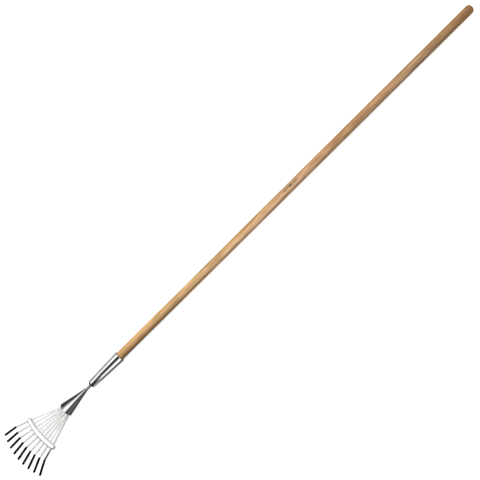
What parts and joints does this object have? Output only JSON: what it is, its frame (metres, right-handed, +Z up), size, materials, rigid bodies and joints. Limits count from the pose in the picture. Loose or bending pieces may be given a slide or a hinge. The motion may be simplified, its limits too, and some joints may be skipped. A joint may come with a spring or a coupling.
{
  "type": "leaf rake",
  "caption": "Long-handled leaf rake with a narrow fan of round wire tines, a curved spacer bar, a flared ferrule and a steel socket on a wooden handle.",
  "frame": {"origin": "on the handle's axis at the mouth of the socket, where the exposed handle starts", "axes": "+X along the handle to the grip end, so the head is towards -X; +Y across the fan; +Z up, so the tine tips point down"},
  "size_m": [1.7372, 0.1568, 0.0336],
  "materials": {
    "ash_wood": "clear varnish, long straight grain",
    "polished_steel": "polished",
    "screw_steel": "plain",
    "ferrule_steel": "polished",
    "tine_wire": "polished, dark towards the tips",
    "spacer_steel": "polished"
  },
  "bodies": {
    "root": {"handle": "ash_wood", "socket": "polished_steel", "socket_screw": "screw_steel", "neck_rod": "polished_steel", "ferrule": "ferrule_steel", "tine_1": "tine_wire", "tine_2": "tine_wire", "tine_3": "tine_wire", "tine_4": "tine_wire", "tine_5": "tine_wire", "tine_6": "tine_wire", "tine_7": "tine_wire", "tine_8": "tine_wire", "tine_9": "tine_wire", "spacer_bar": "spacer_steel"}
  },
  "joints": []
}
